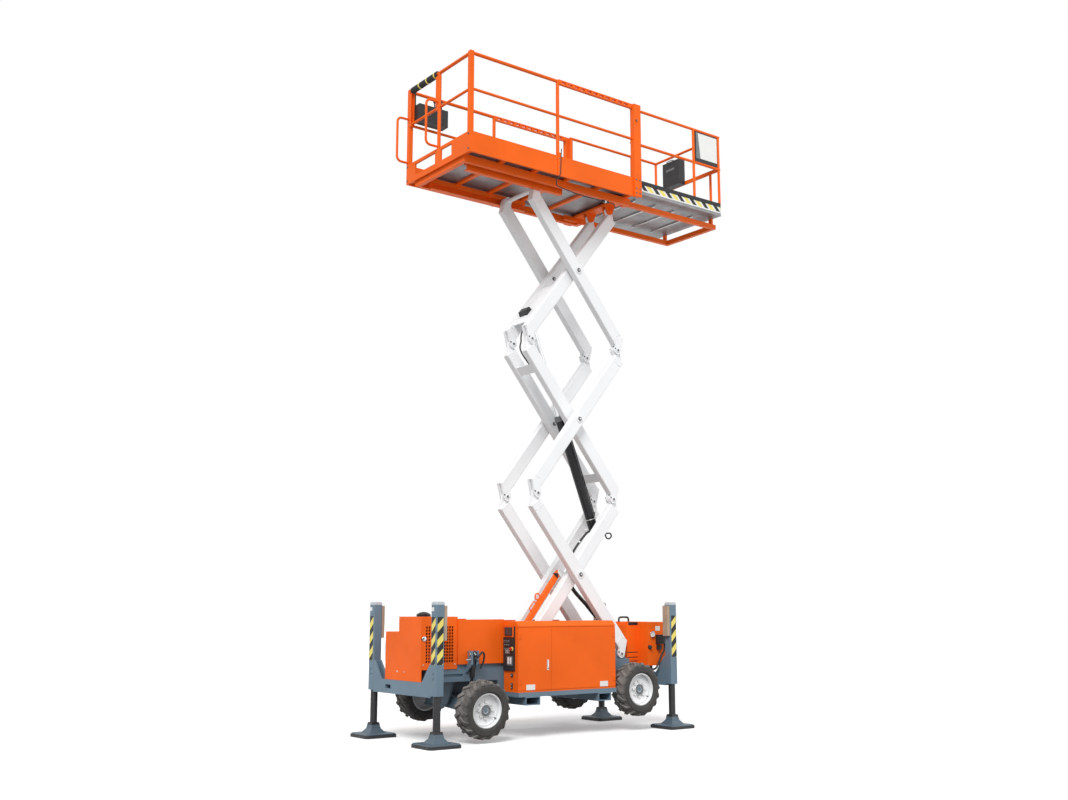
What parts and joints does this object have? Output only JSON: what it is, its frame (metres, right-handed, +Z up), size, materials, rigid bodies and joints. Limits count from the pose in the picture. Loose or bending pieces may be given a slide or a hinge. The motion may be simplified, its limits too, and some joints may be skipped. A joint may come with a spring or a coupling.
{
  "type": "scissor lift",
  "caption": "Rough-terrain scissor lift on levelling legs, orange platform with a roll-out deck raised on white crossed arms",
  "frame": {"origin": "on the ground, midway between the four levelling legs", "axes": "+X along the machine towards the roll-out deck, +Y across it to the far side, +Z up"},
  "size_m": [4.483, 1.626, 7.4279],
  "materials": {
    "blue_grey_paint": "satin",
    "orange_paint": "gloss",
    "white_paint": "gloss",
    "black_paint": "satin",
    "black_plastic": "matte",
    "tan_plastic": "matte",
    "chrome_rod": "polished",
    "bare_steel": "worn",
    "deck_metal": "worn",
    "foam": "matte",
    "tyre_rubber": "matte"
  },
  "bodies": {
    "chassis": {"chassis_frame": "blue_grey_paint", "outrigger_frame_left": "blue_grey_paint", "outrigger_frame_right": "blue_grey_paint", "column_covers": "tan_plastic", "engine_cover": "orange_paint", "engine_block": "black_paint", "well_panels": "orange_paint", "cabinets": "orange_paint", "control_panel": "black_plastic", "cabinet_equipment": "bare_steel", "rear_boxes": "orange_paint", "front_axle": "blue_grey_paint", "rear_axle": "blue_grey_paint", "axle_rams": "black_paint"},
    "platform": {"platform_frame": "orange_paint", "platform_deck": "deck_metal", "toe_panels": "orange_paint", "guardrails": "orange_paint", "platform_console": "black_plastic", "rail_sleeve": "foam"},
    "roll_out": {"roll_out_deck": "deck_metal", "roll_out_frame": "orange_paint", "roll_out_cases": "black_plastic"},
    "knuckle_near": {"knuckle_near": "blue_grey_paint"},
    "knuckle_far": {"knuckle_far": "blue_grey_paint"},
    "tie_rod": {"tie_rod": "bare_steel"},
    "lift_barrel": {"lift_barrel": "black_paint"},
    "lift_rod": {"lift_rod": "chrome_rod"},
    "safety_prop": {"safety_prop": "orange_paint"},
    "entry_bar": {"entry_bar": "orange_paint"},
    "door_near_left": {"door_near_left": "orange_paint"},
    "door_near_right": {"door_near_right": "orange_paint"},
    "door_far_left": {"door_far_left": "orange_paint"},
    "door_far_right": {"door_far_right": "orange_paint"},
    "outer_1": {"outer_arm_1": "white_paint"},
    "inner_1": {"inner_arm_1": "white_paint"},
    "outer_2": {"outer_arm_2": "white_paint"},
    "inner_2": {"inner_arm_2": "white_paint"},
    "outer_3": {"outer_arm_3": "white_paint"},
    "inner_3": {"inner_arm_3": "white_paint"},
    "wheel_front_near": {"tyre_front_near": "tyre_rubber", "rim_front_near": "white_paint"},
    "leg_front_near": {"leg_front_near": "black_paint"},
    "wheel_front_far": {"tyre_front_far": "tyre_rubber", "rim_front_far": "white_paint"},
    "leg_front_far": {"leg_front_far": "black_paint"},
    "wheel_rear_near": {"tyre_rear_near": "tyre_rubber", "rim_rear_near": "white_paint"},
    "leg_rear_near": {"leg_rear_near": "black_paint"},
    "wheel_rear_far": {"tyre_rear_far": "tyre_rubber", "rim_rear_far": "white_paint"},
    "leg_rear_far": {"leg_rear_far": "black_paint"}
  },
  "joints": [
    {"name": "lift", "type": "hinge", "parent": "chassis", "child": "outer_1", "pos_m": [1.09, 0, 0.83], "axis": [0, 1, 0], "range_deg": [-50.7, 6]},
    {"name": "cross_1", "type": "hinge", "parent": "outer_1", "child": "inner_1", "pos_m": [0.48731, 0, 1.72016], "axis": [0, 1, 0], "range_deg": [-12.2, 101.6]},
    {"name": "stack_2", "type": "hinge", "parent": "outer_1", "child": "outer_2", "pos_m": [-0.11537, 0, 2.61033], "axis": [0, 1, 0], "range_deg": [-12.2, 101.6]},
    {"name": "cross_2", "type": "hinge", "parent": "outer_2", "child": "inner_2", "pos_m": [0.48731, 0, 3.50049], "axis": [0, 1, 0], "range_deg": [-101.6, 12.2]},
    {"name": "stack_3", "type": "hinge", "parent": "outer_2", "child": "outer_3", "pos_m": [1.09, 0, 4.39066], "axis": [0, 1, 0], "range_deg": [-101.6, 12.2]},
    {"name": "cross_3", "type": "hinge", "parent": "outer_3", "child": "inner_3", "pos_m": [0.48731, 0, 5.28082], "axis": [0, 1, 0], "range_deg": [-12.2, 101.6]},
    {"name": "platform_level", "type": "hinge", "parent": "inner_3", "child": "platform", "pos_m": [1.09, 0, 6.17099], "axis": [0, 1, 0], "range_deg": [-50.9, 6.2]},
    {"name": "lift_barrel_pivot", "type": "hinge", "parent": "inner_1", "child": "lift_barrel", "pos_m": [0.9681, 0, 2.25761], "axis": [0, 1, 0], "range_deg": [-106.99, 12.84]},
    {"name": "lift_rod_stroke", "type": "slide", "parent": "lift_barrel", "child": "lift_rod", "axis": [-0.3649, 0, 0.931], "range_m": [-0.985, 0.125]},
    {"name": "prop_swing", "type": "hinge", "parent": "inner_1", "child": "safety_prop", "pos_m": [0.35768, -0.0917, 1.74697], "axis": [0, -1, 0], "range_deg": [0, 38]},
    {"name": "roll_out_slide", "type": "slide", "parent": "platform", "child": "roll_out", "axis": [1, 0, 0], "range_m": [-1.4, 0]},
    {"name": "entry_bar_lift", "type": "slide", "parent": "platform", "child": "entry_bar", "axis": [0, 0, 1], "range_m": [0, 0.35]},
    {"name": "door_near_left_swing", "type": "hinge", "parent": "chassis", "child": "door_near_left", "pos_m": [-0.59, -0.616, 0.82], "axis": [0, 0, -1], "range_deg": [0, 90]},
    {"name": "door_near_right_swing", "type": "hinge", "parent": "chassis", "child": "door_near_right", "pos_m": [0.73, -0.616, 0.82], "axis": [0, 0, 1], "range_deg": [0, 90]},
    {"name": "door_far_left_swing", "type": "hinge", "parent": "chassis", "child": "door_far_left", "pos_m": [-0.59, 0.616, 0.82], "axis": [0, 0, 1], "range_deg": [0, 90]},
    {"name": "door_far_right_swing", "type": "hinge", "parent": "chassis", "child": "door_far_right", "pos_m": [0.73, 0.616, 0.82], "axis": [0, 0, -1], "range_deg": [0, 90]},
    {"name": "leg_front_near_stroke", "type": "slide", "parent": "chassis", "child": "leg_front_near", "axis": [0, 0, -1], "range_m": [-0.3, 0.1]},
    {"name": "leg_front_far_stroke", "type": "slide", "parent": "chassis", "child": "leg_front_far", "axis": [0, 0, -1], "range_m": [-0.3, 0.1]},
    {"name": "leg_rear_near_stroke", "type": "slide", "parent": "chassis", "child": "leg_rear_near", "axis": [0, 0, -1], "range_m": [-0.3, 0.1]},
    {"name": "leg_rear_far_stroke", "type": "slide", "parent": "chassis", "child": "leg_rear_far", "axis": [0, 0, -1], "range_m": [-0.3, 0.1]},
    {"name": "steering", "type": "hinge", "parent": "chassis", "child": "knuckle_near", "pos_m": [-1.02, -0.3986, 0.34653], "axis": [0, -0.0837, 0.9965], "range_deg": [-20, 20]},
    {"name": "steering_far", "type": "hinge", "parent": "chassis", "child": "knuckle_far", "pos_m": [-1.02, 0.3986, 0.41347], "axis": [0, -0.0837, 0.9965], "range_deg": [-20.2, 20.2]},
    {"name": "tie_rod_pivot", "type": "hinge", "parent": "knuckle_near", "child": "tie_rod", "pos_m": [-0.85, -0.40111, 0.37642], "axis": [0, -0.0837, 0.9965], "range_deg": [-20.2, 20.2]},
    {"name": "wheel_front_near_spin", "type": "hinge", "parent": "knuckle_near", "child": "wheel_front_near", "pos_m": [-1.02, -0.58394, 0.33096], "axis": [0, 0.9965, 0.0837], "continuous": true},
    {"name": "wheel_rear_near_spin", "type": "hinge", "parent": "chassis", "child": "wheel_rear_near", "pos_m": [1.07, -0.586, 0.45], "axis": [0, 1, 0], "continuous": true},
    {"name": "wheel_front_far_spin", "type": "hinge", "parent": "knuckle_far", "child": "wheel_front_far", "pos_m": [-1.02, 0.58394, 0.42904], "axis": [0, 0.9965, 0.0837], "continuous": true},
    {"name": "wheel_rear_far_spin", "type": "hinge", "parent": "chassis", "child": "wheel_rear_far", "pos_m": [1.07, 0.586, 0.45], "axis": [0, 1, 0], "continuous": true}
  ],
  "couplings": [
    {"joint": "cross_1", "follows": "lift", "ratio": -2},
    {"joint": "stack_2", "follows": "lift", "ratio": -2},
    {"joint": "cross_2", "follows": "lift", "ratio": 2},
    {"joint": "stack_3", "follows": "lift", "ratio": 2},
    {"joint": "cross_3", "follows": "lift", "ratio": -2},
    {"joint": "platform_level", "follows": "lift", "ratio": 1},
    {"joint": "lift_barrel_pivot", "follows": "lift", "ratio": 2.1063},
    {"joint": "lift_rod_stroke", "follows": "lift", "m_per_rad": 1.0953},
    {"joint": "steering_far", "follows": "steering", "ratio": 1},
    {"joint": "tie_rod_pivot", "follows": "steering", "ratio": -1}
  ]
}
